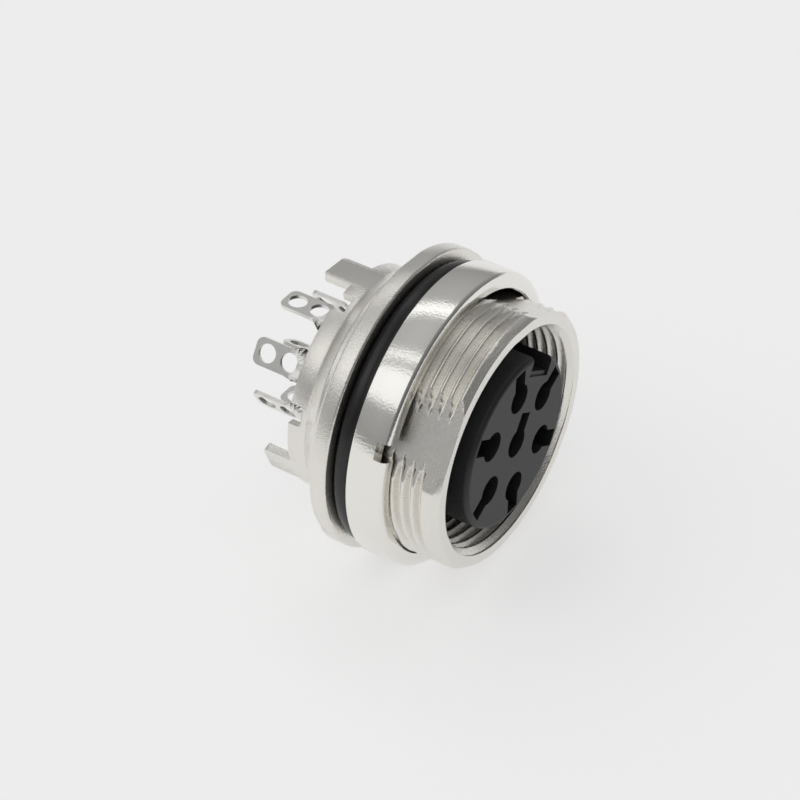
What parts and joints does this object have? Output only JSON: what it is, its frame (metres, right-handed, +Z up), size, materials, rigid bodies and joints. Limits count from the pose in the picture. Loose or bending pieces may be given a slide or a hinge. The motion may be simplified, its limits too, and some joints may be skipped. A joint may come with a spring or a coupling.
{
  "type": "circular panel socket connector",
  "caption": "Round metal panel socket with a threaded sleeve, ring nut, sealing ring and a black insulator holding socket contacts with solder tags.",
  "frame": {"origin": "on the socket's axis, at the front face of the flange, where the panel seats", "axes": "+X along the axis towards the mating face; +Z up; the key notch is 33 degrees clockwise from +Z seen from the front"},
  "size_m": [0.0178, 0.0208, 0.0208],
  "materials": {
    "plated_shell": "satin nickel plating on brass",
    "plated_nut": "bright nickel plating on brass",
    "insulator": "moulded black thermoplastic with a fine grain",
    "seal": "smooth black rubber",
    "contact": "silver-white plating on copper alloy"
  },
  "bodies": {
    "socket": {"shell": "plated_shell", "front_insulator": "insulator", "rear_insulator": "insulator", "sealing_ring": "seal", "contact_1": "contact", "contact_2": "contact", "contact_3": "contact", "contact_4": "contact", "contact_5": "contact", "contact_6": "contact", "contact_7": "contact"},
    "nut": {"ring_nut": "plated_nut"}
  },
  "joints": [
    {"name": "nut_turn", "type": "hinge", "parent": "socket", "child": "nut", "pos_m": [0.00263, 0, 0], "axis": [1, 0, 0], "range_deg": [0, 1170]}
  ]
}
